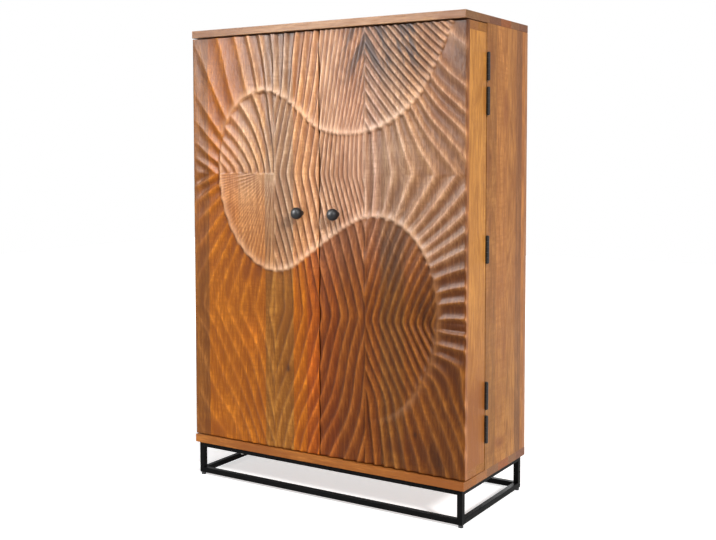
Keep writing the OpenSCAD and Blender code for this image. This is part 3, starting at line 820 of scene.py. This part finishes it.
def carved_wood():
    """Wood of the fronts: darker in the hollows with stain and painted shade, lighter on the crests and the
    line with wear and a painted highlight, with a painted sheen above and painted shadows at the seam, under
    the top board and below the line.
    """
    g = new_material("carved_mango")
    coords = g.add("TexCoord").outputs
    x, y, z = g.split(coords["Object"])
    hollow, band, lip, under, crest = [
        g.add("Attribute", attribute_name=name).outputs["Fac"]
        for name in ("hollow", "band", "lip", "under", "crest")]
    out_by = g.math("ABSOLUTE", x)
    edge_on = g.span(g.math("ABSOLUTE", g.split(coords["Normal"])[0]), 0.75, 0.95)
    tone, shift = front_tone_and_sheen(g, x, z, band)
    tone = g.mix(g.product(edge_on, g.span(out_by, 0.40, 0.46)), tone, FRONT_EDGE)
    base, height, uneven = grain(g, tone, shift, z, x, y, FRONT_KNOTS, FRONT_CLOUDS, wild=1.4, bold=1.7)
    lights = g.product(g.span(nearness(g, x, z, FRONT_LIGHTS), 0.2, 0.8), uneven)
    for share, shade in [
            # painted shade in the gap between the doors
            (g.product(edge_on, g.span(out_by, 0.006, 0.003)), SEAM_GAP_SHADOW),
            # painted shadow under the top board
            (g.span(z, 1.345, 1.372, 0, 0.6), UNDER_TOP_BOARD_SHADOW),
            (lights, PALE_SHADE)]:
        base = g.mix(share, base, g.shaded(base, shade))
    base = smoked(g, base, x, y, z)
    for share, shade in [
            (g.within((x, 0.41, 0.45), (z, 1.18, 1.27)), CORNER_SHADE),
            (g.within((x, 0.42, 0.46), (z, 0.86, 0.80), (z, 0.66, 0.72)), WAIST_SHADE),
            (g.product(g.span(x, 0.0, -0.04), g.within((z, 1.20, 1.28))), UPPER_LEFT_SHADE),
            # stain gathered in the hollows, with painted shade there
            (g.product(hollow, 0.85), HOLLOW_STAIN_AND_SHADE),
            # painted shadow on the low side of the line
            (g.product(under, 0.4), UNDER_LINE_SHADOW),
            # lighter crests and line: wear, with a painted highlight
            (g.product(g.math("MAXIMUM", g.product(crest, 0.75), lip), 0.88), WORN_AND_HIGHLIGHT_SHADE)]:
        base = g.mix(share, base, g.shaded(base, shade))
    # the raised line's rim: worn pale, with a painted highlight
    base = g.mix(g.product(lip, 0.42), base, RIM_WEAR_AND_HIGHLIGHT)
    rough = g.math("ADD", g.product(uneven, 0.14), 0.29)
    chatter = g.noise(coords["Object"], scale=70.0, detail=2)
    normal = g.bump(chatter, 0.0010, 0.45, under=g.bump(height, 0.0005, 0.7))
    return g.surface(base, rough, normal, Specular_IOR_Level=WOOD_GLOSS)


# Steel and plastic

PEEL_SCALE = 1800.0
PEEL_DEPTH = 0.00006
CLOUD_SCALE = 22.0
CLOUD_LIGHT = 1.6


def coated(name, shade, rough, metallic=0.0, gloss=0.5):
    """A coat with a fine peel and faint clouds."""
    g = new_material(name)
    coords = g.add("TexCoord").outputs["Object"]
    peel = g.noise(coords, scale=PEEL_SCALE, detail=2)
    cloud = g.noise(coords, scale=CLOUD_SCALE, detail=3)
    lighter = tuple(min(1, CLOUD_LIGHT * c) for c in shade[:3]) + (1,)
    base = g.mix(g.span(cloud, 0.35, 0.7), shade, lighter)
    uneven = g.span(cloud, 0.3, 0.7, rough - 0.05, rough + 0.07)
    return g.surface(base, uneven, g.bump(peel, PEEL_DEPTH, 0.5), Metallic=metallic, Specular_IOR_Level=gloss)


# Studio

AMBIENT = 0.12
SHEEN_ONLY = "left_reflector"
# each softbox: its name, place, aim, size in metres and power in watts
SOFTBOXES = [
    ("key_softbox", (0.30, -1.25, 2.75), (0.1, -0.2, 1.0), (0.7, 0.5), 34),
    (SHEEN_ONLY, (-1.25, -2.3, 2.05), (0, -0.2, 1.2), (1.2, 1.7), 330),
    ("rear_softbox", (-0.8, 3.0, 1.1), (0, 0.2, 0.8), (1.8, 1.8), 40),
]
SUN_FROM = (0.78, -0.44, 0.45)
SUN_POWER = 3.3
SUN_ANGLE = 0.12
FLOOR_HALF = 7
FLOOR_COLOUR = (0.86, 0.86, 0.86, 1)
FLOOR_GLOW = (0.6, 1.0)
GLOW_REACH = (1.2, 3.0)


def add_world():
    """White where it is seen, and a faint even light on the object."""
    world = bpy.data.worlds.new("studio")
    bpy.context.scene.world = world
    g = Graph(world)
    soft = g.add("Background", {"Color": WHITE, "Strength": AMBIENT}).outputs[0]
    white = g.add("Background", {"Color": WHITE, "Strength": 1.0}).outputs[0]
    blend = g.add("MixShader", {0: g.seen(), 1: soft, 2: white})
    g.add("OutputWorld", {0: blend.outputs[0]})


def softbox(name, at, target, size, power):
    data = bpy.data.lights.new(name, "AREA")
    data.shape = "RECTANGLE"
    data.size, data.size_y = size
    data.energy = power
    light = bpy.data.objects.new(name, data)
    light.location = at
    light.rotation_euler = (Vector(target) - Vector(at)).to_track_quat("-Z", "Y").to_euler()
    bpy.context.collection.objects.link(light)
    return light


def add_lamps():
    for name, at, target, size, power in SOFTBOXES:
        light = softbox(name, at, target, size, power)
        light.visible_diffuse = name != SHEEN_ONLY
    sun = bpy.data.lights.new("high_lamp", "SUN")
    sun.energy = SUN_POWER
    sun.angle = SUN_ANGLE
    lamp = bpy.data.objects.new("high_lamp", sun)
    lamp.rotation_euler = Vector(SUN_FROM).to_track_quat("Z", "Y").to_euler()
    bpy.context.collection.objects.link(lamp)


def add_floor():
    """A pale floor that keeps the object's shadow and fades to white."""
    corners = [(x * FLOOR_HALF, y * FLOOR_HALF, 0) for x, y in ((-1, -1), (1, -1), (1, 1), (-1, 1))]
    mesh = bpy.data.meshes.new("floor")
    mesh.from_pydata(corners, [], [(0, 1, 2, 3)])
    floor = bpy.data.objects.new("floor", mesh)
    bpy.context.collection.objects.link(floor)
    g = new_material("pale_floor")
    away = g.add("VectorMath", {0: g.add("TexCoord").outputs["Object"]}, operation="LENGTH").outputs["Value"]
    glow = g.product(g.seen(), g.span(away, *GLOW_REACH, *FLOOR_GLOW))
    mesh.materials.append(g.surface(FLOOR_COLOUR, 0.9, Emission_Color=WHITE, Emission_Strength=glow))


# Finishes of the boards: tones, plank edges and spots, in metres

TAN = colour(186, 128, 78)
GREY_TAN = colour(160, 114, 76)
AMBER = colour(200, 134, 64)
GOLD = colour(186, 128, 66)
REDDISH = colour(176, 108, 62)
MAUVE = colour(146, 98, 70)
PALE = colour(204, 158, 112)
INSIDE_TONES = [PALE, TAN, GOLD, AMBER]
BACK_TONES = [TAN, GREY_TAN, GOLD, AMBER]
BACK_RIGHT_TONE = colour(178, 128, 88)
PLANK_WIDTH, NARROW_PLANK = 0.11, 0.09
HALF_WIDTH = 0.476

TOP_EDGES = [-0.206, -0.128, -0.060, 0.015, 0.085, 0.140, 0.206]
TOP_TONES = [colour(168, 125, 84), GREY_TAN, MAUVE, REDDISH, GREY_TAN, MAUVE]
TOP_CLOUDS = [(-0.200, -0.390, 0.060, 0.140), (-0.200, 0.460, 0.060, 0.100)]
BASE_TONES = [colour(186, 120, 56), TAN, GREY_TAN, REDDISH, GREY_TAN, MAUVE]
BASE_CLOUDS = [(-0.200, 0.400, 0.060, 0.200), (-0.200, -0.250, 0.060, 0.120)]
SIDE_EDGES = [-0.075, -0.010, 0.062, 0.125, 0.166, 0.188]
SIDE_TONES = [colour(170, 117, 64), colour(186, 127, 70), colour(178, 122, 68), colour(152, 103, 62),
              colour(184, 122, 66)]
SIDE_KNOTS = [(-0.052, 1.010, 0.007, 0.012), (0.058, 1.150, 0.006, 0.009), (0.026, 0.186, 0.014, 0.005)]
SIDE_CLOUDS = [(-0.060, 1.000, 0.022, 0.060), (-0.045, 1.290, 0.024, 0.075), (0.055, 1.140, 0.022, 0.060),
               (0.150, 1.080, 0.012, 0.200), (-0.050, 0.830, 0.012, 0.050), (0.020, 0.190, 0.040, 0.020),
               (0.050, 0.470, 0.014, 0.080)]
SIDE_FOOT = (0.85, 0.86, 0.73)
DOOR_SIDE_TONE = colour(202, 142, 72)
DOOR_SIDE_CLOUDS = [(-0.145, 0.220, 0.080, 0.240), (-0.165, 0.470, 0.020, 0.060),
                    (-0.085, 0.340, 0.020, 0.060)]
DOOR_SIDE_FOOT = (0.76, 0.69, 0.71)


def board_finishes():
    """Wood of the carcass, each with the first words of the names that it is for."""
    back_edges, back_tones = cut_planks(-HALF_WIDTH, HALF_WIDTH, PLANK_WIDTH, 8, BACK_TONES)
    back_tones[-1] = BACK_RIGHT_TONE
    rails = cut_planks(-HALF_WIDTH, HALF_WIDTH, PLANK_WIDTH, 12, INSIDE_TONES)
    divider = cut_planks(-0.1, 0.2, NARROW_PLANK, 13, INSIDE_TONES)
    return [
        ("top_board", wood("top_mango", "x", "y", TOP_EDGES, TOP_TONES, 3, clouds=TOP_CLOUDS)),
        ("base_board", wood("base_mango", "x", "y", TOP_EDGES, BASE_TONES, 4, clouds=BASE_CLOUDS)),
        ("side_", wood("side_mango", "z", "y", SIDE_EDGES, SIDE_TONES, 6, foot=SIDE_FOOT, knots=SIDE_KNOTS,
                       clouds=SIDE_CLOUDS, bold=1.4)),
        ("back_panel", wood("back_mango", "z", "x", back_edges, back_tones, 8)),
        ("stemware", wood("rail_mango", "y", "x", *rails, 9)),
        ("divider", wood("divider_mango", "z", "y", *divider, 10)),
    ]


def finishes():
    """Each finish with the first words of the names that it is for; the first match counts."""
    shelf = cut_planks(-0.2, 0.2, NARROW_PLANK, 14, INSIDE_TONES)
    inside = wood("inside_mango", "x", "y", *shelf, 11, rough=0.5)
    stile = cut_planks(-0.21, -0.07, 0.14, 21, [DOOR_SIDE_TONE])
    upright = wood("upright_mango", "z", "y", *stile, 12, foot=DOOR_SIDE_FOOT, clouds=DOOR_SIDE_CLOUDS)
    steel = coated("black_steel", colour(9, 9, 9), 0.45, gloss=0.035)
    hinge_steel = coated("black_hinge", colour(24, 22, 21), 0.4, gloss=0.3)
    knob_steel = coated("black_knob", colour(15, 15, 17), 0.42, gloss=0.28)
    zinc = coated("zinc_steel", colour(168, 168, 164), 0.35, metallic=1.0)
    plastic = coated("black_plastic", colour(22, 22, 23), 0.5)
    found = board_finishes() + [
        ("frame_post", steel), ("frame_rail", steel), ("frame_screws", zinc), ("glides", plastic),
        ("door_catches", plastic), ("carcass_hinge", hinge_steel), ("hinge_pins", hinge_steel),
        ("shelf_pins", zinc),
    ]
    for side in SIDES:
        door = f"door_{side}_"
        found += [
            (door + "outer_side", upright), (door + "inner_side", upright),
            (door + "knob_screw", zinc), (door + "knob", knob_steel), (door + "catch_plate", zinc),
            (door + "hinge", hinge_steel),
        ]
    return found + [("", inside)]


def paint(found):
    """Gives each CAD node its finish, by the first words of its name."""
    for name, node in NODES.items():
        material = next(finish for prefix, finish in found if name.startswith(prefix))
        node.data.materials.clear()
        node.data.materials.append(material)


# Worn edges: the boards and tubes lose their knife edges

SOFTENED = ("frame_post", "frame_rail", "top_board", "base_board", "side_", "back_panel")
WORN_EDGE = 1.2 * MM
SAME_POINT = 0.01 * MM
SHARP_DEGREES = 50


def soften(node):
    weld = node.modifiers.new("weld", "WELD")
    weld.merge_threshold = SAME_POINT
    bevel = node.modifiers.new("worn_edges", "BEVEL")
    bevel.width = WORN_EDGE
    bevel.segments = 2
    bevel.limit_method = "ANGLE"
    bevel.angle_limit = math.radians(SHARP_DEGREES)
    bevel.harden_normals = True


add_camera()
add_world()
add_lamps()
add_floor()
front_wood = carved_wood()
for side in SIDES:
    carved_panel(side, front_wood)
paint(finishes())
for name, node in NODES.items():
    if name.startswith(SOFTENED):
        soften(node)

bpy.context.scene.view_settings.view_transform = "Standard"
